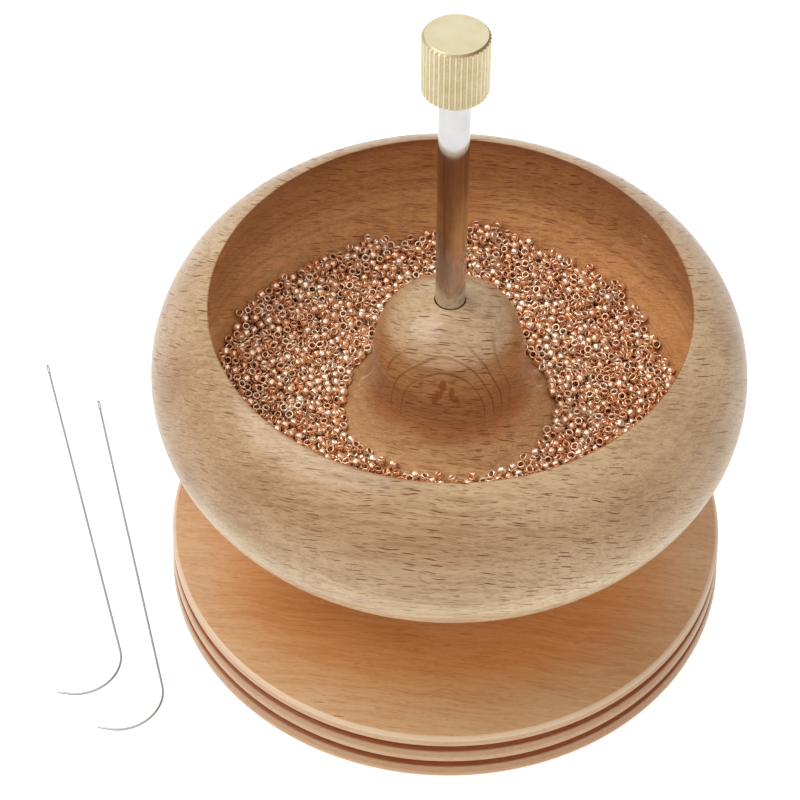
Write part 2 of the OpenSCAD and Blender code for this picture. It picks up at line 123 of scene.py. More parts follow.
class Mat(Nodes):
    """A node material round one Principled shader, with textures in object space."""

    SHADER_INPUTS = {"color": "Base Color", "rough": "Roughness", "metal": "Metallic", "coat": "Coat Weight",
                     "coat_rough": "Coat Roughness", "spec": "Specular IOR Level", "sheen": "Sheen Weight",
                     "sheen_rough": "Sheen Roughness", "normal": "Normal"}

    def __init__(self, name):
        self.material = bpy.data.materials.new(name)
        super().__init__(self.material)
        self.shader = self.node("ShaderNodeBsdfPrincipled")
        self.node("ShaderNodeOutputMaterial", {"Surface": self.shader.outputs[0]})
        self.here = self.node("ShaderNodeTexCoord").outputs

    def set(self, **values):
        for key, value in values.items():
            self.put(self.shader.inputs[self.SHADER_INPUTS[key]], value)

    def stretch(self, vector, scale=(1, 1, 1), turn=(0, 0, 0)):
        return self.node("ShaderNodeMapping", {"Vector": vector, "Rotation": turn, "Scale": scale}).outputs[0]

    def place(self, scale):
        return self.stretch(self.here["Object"], scale)

    def noise(self, vector, detail, rough=0.5, scale=1.0, distort=0.0, output=0):
        made = self.node("ShaderNodeTexNoise", {"Vector": vector, "Scale": scale, "Detail": detail,
                                                "Roughness": rough, "Distortion": distort})
        return made.outputs[output]

    def vec(self, operation, a, b):
        return self.node("ShaderNodeVectorMath", {0: a, 1: b}, operation=operation).outputs[0]

    def vec_length(self, vector):
        return self.node("ShaderNodeVectorMath", {0: vector}, operation="LENGTH").outputs["Value"]

    def xyz(self, vector):
        return self.node("ShaderNodeSeparateXYZ", {0: vector}).outputs

    def red(self, colour):
        return self.node("ShaderNodeSeparateColor", {0: colour}).outputs[0]

    def ramp(self, factor, *stops):
        made = self.node("ShaderNodeValToRGB", {0: factor})
        elements = made.color_ramp.elements
        while len(elements) < len(stops):
            elements.new(0.5)
        for element, (position, colour) in zip(elements, stops):
            element.position = position
            element.color = (*colour, 1)
        return made.outputs[0]

    def band(self, value, start, end, low=0.0, high=1.0):
        """A smooth step from low at start to high at end, which may be the smaller of the two."""
        named = dict(enumerate((value, start, end, low, high)))
        return self.node("ShaderNodeMapRange", named, interpolation_type="SMOOTHSTEP").outputs[0]

    def reach(self, value, start, end):
        """A smooth step between two lengths in millimetres."""
        return self.band(value, start * MM, end * MM)

    def peak(self, value, rise, fall):
        """A hump that rises and falls over the two given stretches."""
        return self.math("MULTIPLY", self.band(value, *rise), self.band(value, *fall, 1.0, 0.0))

    def mix(self, factor, a, b, blend_type="MIX"):
        a, b = ((*c, 1) if isinstance(c, tuple) else c for c in (a, b))
        made = self.node("ShaderNodeMix", {0: factor, 6: a, 7: b}, data_type="RGBA", blend_type=blend_type)
        return made.outputs[2]

    def tint(self, factor, tone, colour):
        """The tone times a colour, where factor lets it."""
        return self.mix(factor, tone, self.mix(1.0, tone, colour, "MULTIPLY"))

    def bump(self, height, strength, distance):
        named = {"Height": height, "Strength": strength, "Distance": distance}
        return self.node("ShaderNodeBump", named).outputs[0]


# Beech, as a solid texture. Local X runs along the fibres, Y along the rays and Z across both.
# The shape of a grain is its cells per metre along those three.

FIBRE, STREAK, PORE, RAY = (150, 1700, 3100), (42, 460, 980), (420, 3600, 5200), (260, 110, 3000)
SOFT, SLOW, VARY, CLOUD = (9, 26, 26), (14, 30, 30), (40, 90, 90), (22, 30, 30)
BEND_SHAPE, BEND_CELLS, BEND_RISE = (0.7, 0.4, 1), 110, 0.0024
RING_WAVE, TURNING_CELLS = 0.012, 1000
ENDGRAIN = (0.35, 0.8)
LATE_WOOD, LATE_DEPTH = ((0.3, 0.93), (0.94, 1.0)), 0.35
RING_LINE, RING_LINE_DEPTH = ((0.87, 0.92), (0.93, 0.97)), 0.3

# Ray flecks of three sizes: cells per metre, how far each is narrowed in its cell, and how deep its tone is
FLECKS = (((190, 140, 800), (2.8, 1.7, 7.6), 1.0),
          ((300, 210, 1300), (3.2, 1.7, 6.6), 0.8),
          ((520, 420, 2300), (2.6, 2.2, 5.0), 0.4))
FLECK_SHIFT, FLECK_EDGE, FLECK_DEPTH = (0.0137, 0.021, 0.0093), (1.0, 0.62), 0.92


class Beech(Mat):
    """The wood's coordinates and grains, which the tones of the bowl and the base share."""

    def __init__(self, name, heading, roll):
        super().__init__(name)
        self.x, self.y, self.z = self.xyz(self.here["Object"])
        self.r = self.length(self.x, self.y)
        headed = self.stretch(self.here["Object"], turn=(0, 0, heading))
        self.straight = self.stretch(headed, turn=(roll, 0, 0))
        wobble = self.noise(self.stretch(self.straight, BEND_SHAPE), 2, scale=BEND_CELLS, output="Color")
        wobble = self.vec("SUBTRACT", wobble, (0.5, 0.5, 0.5))
        self.bent = self.vec("ADD", self.straight, self.vec("MULTIPLY", wobble, (0.0, 0.0, BEND_RISE)))
        facing = self.xyz(self.here["Normal"])
        self.endgrain = self.band(self.math("ABSOLUTE", facing[0]), *ENDGRAIN)
        self.slow = self.cloudy(SLOW, 2)
        self.vary = self.band(self.cloudy(VARY, 2), 0.3, 0.6, 0.15, 1.0)
        around = self.node("ShaderNodeCombineXYZ", {0: self.r, 1: self.z}).outputs[0]
        self.turned = self.noise(around, 3, 0.6, TURNING_CELLS)
        self.unpolished = 0.0

    def grain(self, shape, detail, rough=0.5):
        return self.noise(self.stretch(self.bent, shape), detail, rough)

    def cloudy(self, shape, detail, rough=0.5):
        return self.noise(self.stretch(self.straight, shape), detail, rough)

    def rings(self, centre, gap):
        """Wavy growth rings round a line along X: the late wood of each, and the thin line at its end."""
        across = self.vec("MULTIPLY", self.vec("SUBTRACT", self.bent, (0.0, *centre)), (0.0, 1.0, 1.0))
        away = self.scaled(self.slow, RING_WAVE, self.vec_length(across))
        turns = self.math("FRACT", self.math("DIVIDE", away, gap * MM))
        return self.peak(turns, *LATE_WOOD), self.peak(turns, *RING_LINE)

    def ray_flecks(self, amount):
        """Short thin spindles along the fibres, fewer of them where the amount is low."""
        flecks = 0.0
        fainter = self.scaled(self.endgrain, -0.3, 1.0)
        for i, ((shape, narrow, depth), share) in enumerate(zip(FLECKS, (amount, amount * 0.9, 0.5))):
            shifted = self.vec("ADD", self.bent, tuple(i * shift for shift in FLECK_SHIFT))
            at = self.vec("MULTIPLY", shifted, shape)
            cell = self.node("ShaderNodeTexVoronoi", {"Vector": at, "Scale": 1.0}).outputs
            off = self.vec("MULTIPLY", self.vec("SUBTRACT", at, cell["Position"]), narrow)
            body = self.band(self.vec_length(off), *FLECK_EDGE)
            chosen = self.band(self.red(cell["Color"]), 1 - share, 1 - share * 0.4, 0.0, depth)
            smallest = i == len(FLECKS) - 1
            spindle = self.product(body, chosen) if smallest else self.product(body, chosen, fainter)
            flecks = self.math("MAXIMUM", flecks, spindle)
        return self.math("MULTIPLY", flecks, self.band(self.cloudy(CLOUD, 2), 0.36, 0.6, 0.45, 1.0))


def beech(name, colours, heading, roll, centre, ring_gap, ring_depth, fleck_amount, rough, bands,
          under, over):
    """Turned beech. The functions in under and over add tones before and after the ray flecks."""
    pale, mid, dark, fleck = colours
    m = Beech(name, heading, roll)
    late, line = m.rings(centre, ring_gap)
    fibre, streak, pore = m.grain(FIBRE, 3, 0.65), m.grain(STREAK, 3, 0.65), m.grain(PORE, 1)
    side = m.scaled(m.math("SUBTRACT", 1.0, m.endgrain), 0.75 * bands, 0.25 * bands)

    tone = m.ramp(m.cloudy(SOFT, 3, 0.6), (0.3, dark), (0.5, mid), (0.72, pale))
    tone = m.mix(m.math("MULTIPLY", late, ring_depth * LATE_DEPTH), tone, dark)
    # each grain, where it starts and is full, how deep it is, over which part it lies and its colour
    layers = ((streak, 0.42, 0.66, 0.5, side, pale),
              (streak, 0.5, 0.32, 0.38, side, dark),
              (fibre, 0.48, 0.3, 0.6, 1.0, dark),
              (fibre, 0.54, 0.72, 0.5, 1.0, pale),
              (pore, 0.4, 0.26, 0.45, 1.0, fleck),
              (m.grain(RAY, 2, 0.6), 0.47, 0.34, 0.55, m.endgrain, dark))
    for grain, start, full, depth, part, colour in layers:
        tone = m.mix(m.math("MULTIPLY", m.band(grain, start, full, 0.0, depth), part), tone, colour)
    tone = m.mix(m.product(line, m.vary, ring_depth * RING_LINE_DEPTH), tone, m.mix(0.5, dark, fleck))
    tone = m.mix(m.band(m.turned, 0.5, 0.3, 0.0, 0.14), tone, dark)

    for add_tone in under:
        tone = add_tone(m, tone)
    flecks = m.ray_flecks(fleck_amount)
    tone = m.mix(m.math("MULTIPLY", flecks, FLECK_DEPTH), tone, fleck)
    for add_tone in over:
        tone = add_tone(m, tone)

    height = m.math("MULTIPLY", fibre, 0.6)
    for layer, rise in ((flecks, -0.8), (pore, 0.4), (m.turned, 0.5)):
        height = m.scaled(layer, rise, height)
    polish = m.product(m.math("SUBTRACT", 1.0, flecks, clamp=True), m.scaled(m.unpolished, -0.9, 1.0), 0.5)
    m.set(color=tone, rough=m.band(streak, 0.3, 0.7, *rough), spec=0.24, coat=polish, coat_rough=0.12,
          sheen=0.15, sheen_rough=0.25, normal=m.bump(height, 0.3, 0.1 * MM))
    return m.material


# Tones of the bowl. Heights and radii are in millimetres.

BOWL_PALE, BOWL_MID = (0.67, 0.47, 0.27), (0.54, 0.345, 0.178)
BOWL_DARK, BOWL_FLECK = (0.34, 0.17, 0.065), (0.16, 0.046, 0.010)
ARCH_X, ARCH_Z, ARCH_HALF_W, ARCH_H = -1.0, 67.5, 11.0, 16.5
ARCHES_PER_SPAN, ARCH_WAVE, ARCH_DEPTH, ARCH_LINE = 5.0, 0.9, 0.85, ((0.72, 0.9), (0.92, 0.98))
# Turning marks in the trough; painted shade in the trough, under the rim and along the belly; painted light on
# the flare and the underside
TROUGH_PAINTED_SHADE, TROUGH_LINES, RIM_SHADE = (1.05, 0.76, 0.54), (0.78, 0.7, 0.62), (0.66, 0.56, 0.5)
FLARE_PAINTED_LIGHT, UNDER_PAINTED_LIGHT, BELLY_PAINTED_SHADE = (1.38, 1.3, 1.2), (1.36, 1.54, 1.70), (0.87, 0.80, 0.73)
STAIN, STAIN_CELLS, STAIN_RAGGED = (0.34, 0.085, 0.026), (620, 620, 420), 1.2
# The stain's blobs: middle, half widths and depth of tone
STAIN_BLOBS = (((-1.3, -18.2, 77.4), (1.3, 5, 1.9), 0.8), ((-2.1, -18.5, 75.0), (1.1, 5, 1.6), 0.7),
               ((-3.1, -18.6, 73.3), (0.9, 5, 1.5), 0.6), ((0.8, -18.5, 75.5), (0.9, 5, 1.9), 0.7),
               ((1.7, -18.6, 73.8), (1.1, 5, 1.4), 0.65), ((2.4, -18.7, 72.2), (0.8, 5, 1.2), 0.5))


def hub_arches(m, tone):
    """Growth lines that show as nested arches on the front of the hub."""
    sideways = m.math("DIVIDE", m.math("SUBTRACT", m.x, ARCH_X * MM), ARCH_HALF_W * MM)
    upward = m.math("DIVIDE", m.math("SUBTRACT", m.z, ARCH_Z * MM), ARCH_H * MM)
    span = m.scaled(m.slow, ARCH_WAVE, m.length(sideways, upward))
    lines = m.peak(m.math("FRACT", m.math("MULTIPLY", span, ARCHES_PER_SPAN)), *ARCH_LINE)
    front = m.product(m.reach(m.r, 27, 22), m.reach(m.y, -4, -10),
                      m.reach(m.z, 86.5, 83), m.reach(m.z, 64, 69))
    between = m.product(m.band(span, 1.2, 1.4), m.band(span, 2.1, 1.9))
    arches = m.product(lines, m.vary, front, between, ARCH_DEPTH)
    return m.mix(arches, tone, m.mix(0.35, BOWL_DARK, BOWL_FLECK))


def turning_marks_and_painted_light(m, tone):
    """Turning marks inside, with painted light and shade: a deeper and warmer painted shade inside the trough,
    a painted shadow under the rim, painted light on the hub's flare and on the underside, and a deeper painted
    shade along the front of the belly.
    """
    wall_x, wall_z = curve["wall"]
    away = m.length(m.math("SUBTRACT", m.r, wall_x * MM), m.math("SUBTRACT", m.z, wall_z * MM))
    hub = m.product(m.reach(m.z, 87, 76), m.reach(m.z, 58.5, 65.5))
    trough = m.math("MAXIMUM", m.reach(m.r, 30, 38), hub)
    inside = m.product(m.reach(away, WALL_ARC + 0.3, WALL_ARC + 0.15), trough)
    # painted shade: deeper and warmer inside the trough
    tone = m.tint(inside, tone, TROUGH_PAINTED_SHADE)
    tone = m.tint(m.product(m.band(m.turned, 0.52, 0.36, 0.0, 0.4), inside), tone, TROUGH_LINES)
    # painted shadow on the inner wall, under the overhanging rim
    rim = m.product(m.reach(away, WALL_ARC - 0.6, WALL_ARC), m.reach(m.z, 83, 89.5), inside)
    tone = m.tint(rim, tone, RIM_SHADE)
    # painted light: paler on the hub's flare, where the bowl's shape shades it
    tone = m.tint(m.product(m.reach(m.z, 67, 58), m.reach(m.r, 43, 38)), tone, FLARE_PAINTED_LIGHT)
    # painted light: paler on the bowl's underside, as if lit from the floor below
    tone = m.tint(m.product(m.reach(m.z, 73, 61), m.reach(m.r, 46, 50)), tone, UNDER_PAINTED_LIGHT)
    # painted shade: a deeper band along the front of the belly, where less light falls
    belly = m.product(m.reach(m.z, 72.5, 79), m.reach(m.z, 86.8, 81.5), m.reach(m.y, -28, -55),
                      m.reach(m.r, 57, 58.5), m.math("SUBTRACT", 1.0, inside, clamp=True))
    return m.tint(belly, tone, BELLY_PAINTED_SHADE)


def hub_stain(m, tone):
    """A reddish stain with ragged edges on the front of the hub."""
    ragged = m.noise(m.place(STAIN_CELLS), 3, 0.65)
    for middle, half_widths, depth in STAIN_BLOBS:
        off = m.vec("SUBTRACT", m.here["Object"], tuple(v * MM for v in middle))
        off = m.vec("MULTIPLY", off, tuple(1 / (v * MM) for v in half_widths))
        edge = m.scaled(ragged, STAIN_RAGGED, m.vec_length(off))
        tone = m.mix(m.band(edge, 1.2, 1.6, depth, 0.0), tone, STAIN)
    return tone


# Tones of the base. Heights and radii are in millimetres.

BASE_PALE, BASE_MID = (0.75, 0.525, 0.31), (0.70, 0.41, 0.20)
BASE_DARK, BASE_FLECK = (0.57, 0.27, 0.105), (0.44, 0.17, 0.05)
# Painted shade towards the middle, in the grooves and on the ridges; sanded edges with a painted highlight
MIDDLE_PAINTED_SHADE, GROOVE_PAINTED_SHADE, RIDGE_PAINTED_SHADE = (1.07, 0.83, 0.59), (0.68, 0.35, 0.16), (0.72, 0.62, 0.52)
SANDED_AND_HIGHLIGHT, TOP_SANDED_AND_HIGHLIGHT, LIPS_SANDED_AND_HIGHLIGHT = (0.9, 0.72, 0.52), 0.62, 0.35


def base_painted_shade_and_highlight(m, tone):
    """Painted shade in the grooves, towards the middle under the bowl and along the top of each ridge, and
    paler along the edges, which are sanded and carry a painted highlight.
    """
    lean = (BASE_R - LIP_R) / (LIP_Z - BASE_LOW)
    up = m.math("SUBTRACT", m.z, BASE_LOW * MM)
    sunk_by = m.math("SUBTRACT", BASE_R * MM, m.scaled(up, lean, m.r))
    on_side = m.product(m.reach(m.z, LIP_Z - 0.5, LIP_Z - 0.9), m.reach(m.z, BASE_LOW + 0.7, BASE_LOW + 1.3))
    # painted shade: warmer and deeper towards the middle, under the bowl
    tone = m.tint(m.reach(m.r, 66, 48), tone, MIDDLE_PAINTED_SHADE)
    # painted shade in the grooves, deeper the further in
    sunk = m.product(m.reach(sunk_by, 0.12, 0.6), on_side)
    tone = m.tint(sunk, tone, GROOVE_PAINTED_SHADE)
    m.unpolished = sunk
    # paler top edge: sanded wood, and a painted highlight where the rounded edge catches the light
    top_edge = m.product(m.reach(m.r, BASE_R - 1.95, BASE_R - 1.6), m.reach(m.z, LIP_Z - 1.2, LIP_Z - 0.6))
    tone = m.mix(m.product(top_edge, TOP_SANDED_AND_HIGHLIGHT), tone, SANDED_AND_HIGHLIGHT)
    # paler lips of the grooves: sanded wood, and a painted highlight
    lips = m.product(m.reach(sunk_by, 0.04, 0.12), on_side, m.reach(sunk_by, 0.42, 0.28))
    tone = m.mix(m.product(lips, LIPS_SANDED_AND_HIGHLIGHT), tone, SANDED_AND_HIGHLIGHT)
    # each ridge gets a painted shade along its top, under the lip above it, and is paler towards its lower
    # edge
    ridge = m.math("FRACT", m.math("DIVIDE", m.math("SUBTRACT", m.z, GROOVE_Z * MM), GROOVE_PITCH * MM))
    ridge = m.product(m.band(ridge, 0.36, 0.62), m.reach(m.z, LIP_Z - 1.9, LIP_Z - 2.5),
                      m.reach(m.r, BASE_R - 4, BASE_R - 3))
    return m.tint(ridge, tone, RIDGE_PAINTED_SHADE)


# Sizes, in millimetres and degrees, as in part.scad

PAD_T, PAD_RECESS, PAD_INSET = 1.4, 1.0, 6.4
BASE_R, LIP_R, LIP_Z, DOME_RISE, LIP_ROUND = 68.4, 67.5, 14.2, 3.2, 0.9
GROOVE_Z, GROOVE_PITCH, GROOVE_W, GROOVE_DEEP, GROOVE_ROUND = 4.7, 5.6, 2.3, 2.2, 0.45
PEDESTAL_R, PEDESTAL_RISE, PEDESTAL_SWEEP = 15, 18.2, 12
ROD_R, SHOULDER_R, SHOULDER_T, COUNTERBORE_R = 2.5, 4.75, 2, 9.5
NUT_ROOM, NUT_H, WASHER_T = 1.7, 4, 1.1
THRUST_T, THRUST_GAP, BUSH_FLANGE_T, BUSH_R, BUSH_LEN = 1, 0.1, 1.38, 4.5, 11.1

FOOT_R, FOOT_SLOPE = 26, 2.1
UNDER_ARC, UNDER_TURN, BELLY_ARC, BELLY_TURN = 52.4, 43, 24.4, 70.2
SHOULDER_ARC, SHOULDER_TURN, RIM_ARC, RIM_TURN = 21.1, 40.7, 4.1, 20
SIDE_T, RIM_DROP, WALL_ARC, WALL_END = 8.82, 0.1, 29.03, -40
CORNER_ARC, FLOOR_FLAT = 14.76, 1.35
NECK_R, NECK_ARC, HUB_ROUND, CROWN_ARC, CROWN_UP = 17.6, 28, 5, 20, 53.76
TUBE_R, RELIEF_GAP, RELIEF_DEEP = 3.4, 0.22, 3

PAD_R, BASE_LOW = BASE_R - PAD_INSET, PAD_T - PAD_RECESS
PEDESTAL_Z = LIP_Z + PEDESTAL_RISE
COUNTERBORE_Z = PAD_T + NUT_ROOM + NUT_H + WASHER_T
FOOT_Z = PEDESTAL_Z + THRUST_T + THRUST_GAP + BUSH_FLANGE_T

# Outlines


def ray(centre, radius, angle):
    turn = math.radians(angle)
    return (centre[0] + radius * math.cos(turn), centre[1] + radius * math.sin(turn))


def arc(centre, radius, start, end, step=1.5):
    count = max(3, math.ceil(abs(end - start) / step))
    return [ray(centre, radius, start + (end - start) * i / count) for i in range(1, count + 1)]


def turn_centre(point, radius, heading):
    """Centre of the curve that leaves a point with the given heading, curving upward."""
    turn = math.radians(heading)
    return (point[0] - radius * math.sin(turn), point[1] + radius * math.cos(turn))


def turn_point(centre, radius, heading):
    """The point of such a curve where its heading is the one given."""
    turn = math.radians(heading)
    return (centre[0] + radius * math.sin(turn), centre[1] - radius * math.cos(turn))


def angle_from(centre, point):
    return math.degrees(math.atan2(point[1] - centre[1], point[0] - centre[0]))


def meet(a, a_radius, b, b_radius):
    """The upper, outer point where two circles cross."""
    a, b = np.array(a, float), np.array(b, float)
    gap = np.linalg.norm(b - a)
    along = (b - a) / gap
    k = (gap * gap + a_radius * a_radius - b_radius * b_radius) / (2 * gap)
    aside = math.sqrt(a_radius * a_radius - k * k)
    return tuple(a + k * along + aside * np.array([abs(along[1]), abs(along[0])]))


def bowl_profile():
    """The bowl and hub as one closed outline, and the curves of the trough."""
    pts = [(BUSH_R, FOOT_Z), (FOOT_R, FOOT_Z)]
    heading, point, centres = FOOT_SLOPE, (FOOT_R, FOOT_Z), []
    for radius, turn, step in ((UNDER_ARC, UNDER_TURN, 1.5), (BELLY_ARC, BELLY_TURN, 1.5),
                               (SHOULDER_ARC, SHOULDER_TURN, 1.5), (RIM_ARC, RIM_TURN, 4)):
        centre = turn_centre(point, radius, heading)
        pts += arc(centre, radius, heading - 90, heading + turn - 90, step)
        heading += turn
        point = turn_point(centre, radius, heading)
        centres.append(centre)
    wall_x = centres[1][0] + BELLY_ARC - SIDE_T - WALL_ARC
    mouth = math.degrees(math.acos((point[0] - wall_x) / WALL_ARC))
    wall = (wall_x, point[1] - RIM_DROP - WALL_ARC * math.sin(math.radians(mouth)))
    corner = ray(wall, WALL_ARC - CORNER_ARC, WALL_END)
    floor = corner[1] - CORNER_ARC
    flare_r = corner[0] - FLOOR_FLAT - NECK_R
    flare = (NECK_R + flare_r, floor + flare_r)
    crown_z = FOOT_Z + CROWN_UP
    neck = (NECK_R - NECK_ARC, flare[1])
    crown = (0, crown_z - CROWN_ARC)
    hub = meet(neck, NECK_ARC - HUB_ROUND, crown, CROWN_ARC - HUB_ROUND)
    neck_end, crown_start = angle_from(neck, hub), angle_from(crown, hub)
    relief_r = TUBE_R + RELIEF_GAP
    crown_end = math.degrees(math.acos(relief_r / CROWN_ARC))
    pts += [ray(wall, WALL_ARC, mouth)] + arc(wall, WALL_ARC, mouth, WALL_END)
    pts += arc(corner, CORNER_ARC, WALL_END, -90) + [(flare[0], floor)] + arc(flare, flare_r, -90, -180)
    pts += arc(neck, NECK_ARC, 0, neck_end) + arc(hub, HUB_ROUND, neck_end, crown_start, 3)
    pts += arc(crown, CROWN_ARC, crown_start, crown_end)
    pts += [(relief_r, crown_z - RELIEF_DEEP), (TUBE_R, crown_z - RELIEF_DEEP)]
    pts += [(TUBE_R, FOOT_Z + BUSH_LEN), (BUSH_R, FOOT_Z + BUSH_LEN)]
    return pts, dict(wall=wall, corner=corner, flare=flare, floor=floor)


def eased(before, corner, after, reach):
    """A corner rounded off, which starts and ends at the given reach from it."""
    before, corner, after = (np.array(p, float) for p in (before, corner, after))
    start = corner + (before - corner) / np.linalg.norm(before - corner) * reach
    end = corner + (after - corner) / np.linalg.norm(after - corner) * reach
    shares = (0, 0.25, 0.5, 0.75, 1)
    return [tuple((1 - t) ** 2 * start + 2 * (1 - t) * t * corner + t * t * end) for t in shares]


def groove(z):
    """One turned groove in the base's side, with eased edges and a round bottom."""
    ease, edge_in, bottom = 0.42, 0.08, (240, 120)

    def side(height):
        return BASE_R + (LIP_R - BASE_R) * (height - BASE_LOW) / (LIP_Z - BASE_LOW)

    centre = (side(z) - GROOVE_DEEP + GROOVE_ROUND, z)
    low_z, high_z = z - GROOVE_W / 2, z + GROOVE_W / 2
    low, high = (side(low_z) - edge_in, low_z), (side(high_z) - edge_in, high_z)
    return (eased((low[0], low_z - 1), low, ray(centre, GROOVE_ROUND, bottom[0]), ease)
            + arc(centre, GROOVE_ROUND, *bottom, 15)
            + eased(ray(centre, GROOVE_ROUND, bottom[1]), high, (high[0], high_z + 1), ease))


def base_profile():
    """The base as one closed outline, with the counterbore and the recess for the pad."""
    foot_ease, foot_in, top_ease, dome_steps = 0.55, 0.05, 1.1, 12
    dome_r = (LIP_R**2 + DOME_RISE**2) / (2 * DOME_RISE)
    dome = (0, LIP_Z + DOME_RISE - dome_r)
    lip_x, sweep_x = LIP_R - LIP_ROUND, PEDESTAL_R + PEDESTAL_SWEEP
    lip = (lip_x, dome[1] + math.sqrt((dome_r - LIP_ROUND) ** 2 - lip_x**2))
    sweep = (sweep_x, dome[1] + math.sqrt((dome_r + PEDESTAL_SWEEP) ** 2 - sweep_x**2))
    lip_end, sweep_start = angle_from(dome, lip), angle_from(dome, sweep)
    foot_x = BASE_R - foot_in

    pts = [(ROD_R, COUNTERBORE_Z), (COUNTERBORE_R, COUNTERBORE_Z), (COUNTERBORE_R, PAD_T), (PAD_R, PAD_T)]
    pts += [(PAD_R, BASE_LOW)]
    pts += eased((PAD_R, BASE_LOW), (foot_x, BASE_LOW), (foot_x, BASE_LOW + 1), foot_ease)
    pts += groove(GROOVE_Z) + groove(GROOVE_Z + GROOVE_PITCH)
    pts += [ray(lip, LIP_ROUND, 0)] + arc(lip, LIP_ROUND, 0, lip_end, 8)
    pts += [ray(dome, dome_r, lip_end + (sweep_start - lip_end) * i / dome_steps)
            for i in range(1, dome_steps)]
    pts += [ray(sweep, PEDESTAL_SWEEP, sweep_start - 180)]
    pts += arc(sweep, PEDESTAL_SWEEP, sweep_start - 180, -180, 4)
    top = (PEDESTAL_R, PEDESTAL_Z)
    pts += eased((PEDESTAL_R, PEDESTAL_Z - 3), top, (PEDESTAL_R - 3, PEDESTAL_Z), top_ease)
    pts += [(SHOULDER_R, PEDESTAL_Z), (SHOULDER_R, PEDESTAL_Z - SHOULDER_T), (ROD_R, PEDESTAL_Z - SHOULDER_T)]
    return pts


# Mesh helpers


def add_object(name, mesh, material):
    mesh.materials.append(material)
    ob = bpy.data.objects.new(name, mesh)
    scene.collection.objects.link(ob)
    return ob


def finish_mesh(name, bm, material, sharp=32):
    """An object from a bmesh, shaded smooth up to the given angle."""
    mesh = bpy.data.meshes.new(name)
    bmesh.ops.recalc_face_normals(bm, faces=bm.faces)
    for face in bm.faces:
        face.smooth = True
    for edge in bm.edges:
        if len(edge.link_faces) == 2 and edge.calc_face_angle(0) > math.radians(sharp):
            edge.smooth = False
    bm.to_mesh(mesh)
    bm.free()
    return add_object(name, mesh, material)


def join_rings(bm, low, high):
    for k in range(len(low)):
        j = (k + 1) % len(low)
        bm.faces.new((low[k], low[j], high[j], high[k]))


def lathe(name, pts, segs, material):
    """Closed ring solid turned about +Z from a closed outline in millimetres."""
    bm = bmesh.new()
    angles = [2 * math.pi * k / segs for k in range(segs)]
    rings = [[bm.verts.new((r * MM * math.cos(a), r * MM * math.sin(a), z * MM)) for a in angles]
             for r, z in pts]
    for low, high in zip(rings, rings[1:] + rings[:1]):
        join_rings(bm, low, high)
    return finish_mesh(name, bm, material)


# Materials

bowl_pts, curve = bowl_profile()
bowl_wood = beech("bowl_beech", (BOWL_PALE, BOWL_MID, BOWL_DARK, BOWL_FLECK), heading=0.09, roll=0.72,
                  centre=(0.05, -0.12), ring_gap=4.2, ring_depth=0.35, fleck_amount=0.8, rough=(0.36, 0.5),
                  bands=1.0, under=[hub_arches], over=[turning_marks_and_painted_light, hub_stain])
base_wood = beech("base_beech", (BASE_PALE, BASE_MID, BASE_DARK, BASE_FLECK), heading=0.12, roll=0.9,
                  centre=(-0.09, 0.03), ring_gap=6.5, ring_depth=0.25, fleck_amount=0.06, rough=(0.34, 0.44),
                  bands=0.7, under=[], over=[base_painted_shade_and_highlight])


def metal(name, colour, rough, scratch, cells=(900, 900, 900)):
    """Metal with fine scratches, drawn out where the cells are."""
    m = Mat(name)
    scratches = m.noise(m.place(cells), 3, 0.6)
    cloud = m.noise(m.place((160, 160, 160)), 2)
    dull = tuple(c * 0.9 for c in colour)
    m.set(color=m.mix(m.band(cloud, 0.35, 0.7), colour, dull), metal=1.0,
          rough=m.math("MULTIPLY_ADD", scratches, scratch, rough - scratch * 0.5, clamp=True),
          normal=m.bump(scratches, 0.05, 0.04 * MM))
    return m.material


def knob_brass():
    """Pale brass, tarnished brown in the flutes and in places along the top edge."""
    flute_low, knob_top = (148.3, 148.6), 162.4
    m = Mat("knob_brass")
    x, y, z = m.xyz(m.here["Object"])
    r = m.length(x, y)
    fine = m.noise(m.place((1500, 1500, 1500)), 3, 0.6)
    cloud = m.noise(m.place((190, 190, 260)), 3, 0.6)
    side = m.product(m.reach(z, *flute_low), m.reach(z, knob_top - 0.05, knob_top - 0.1))
    flute = m.product(m.reach(r, 7.05, 6.73), side)
    edge = m.product(m.reach(z, knob_top - 0.75, knob_top - 0.5), m.reach(z, knob_top - 0.04, knob_top - 0.1))
    patch = m.math("ADD", x, m.math("MULTIPLY", cloud, 6 * MM))
    stain = m.product(edge, m.band(patch, 1 * MM, 7 * MM, 0.1, 0.85))
    tone = m.mix(m.band(cloud, 0.3, 0.7), (0.77, 0.67, 0.42), (0.83, 0.745, 0.52))
    tone = m.mix(m.product(flute, m.scaled(fine, 0.45, 0.2)), tone, (0.38, 0.27, 0.12))
    tone = m.mix(stain, tone, (0.20, 0.12, 0.05))
    m.set(color=tone, metal=1.0, rough=m.band(fine, 0.2, 0.8, 0.3, 0.44),
          normal=m.bump(fine, 0.12, 0.04 * MM))
    return m.material


def nylon():
    m = Mat("nylon")
    fine = m.noise(m.place((800, 800, 800)), 2)
    m.set(color=m.mix(fine, (0.82, 0.81, 0.76), (0.9, 0.89, 0.85)), rough=m.band(fine, 0.2, 0.8, 0.38, 0.52),
          normal=m.bump(fine, 0.1, 0.05 * MM))
    return m.material


def felt():
    m = Mat("felt")
    hairs = m.noise(m.here["Object"], 4, 0.7, scale=1500, distort=1.2)
    cloud = m.noise(m.here["Object"], 3, 0.6, scale=180)
    m.set(color=m.mix(cloud, (0.045, 0.045, 0.05), (0.09, 0.09, 0.095)),
          rough=m.band(hairs, 0.2, 0.8, 0.85, 1.0), sheen=0.35, spec=0.15, normal=m.bump(hairs, 0.7, 0.4 * MM))
    return m.material


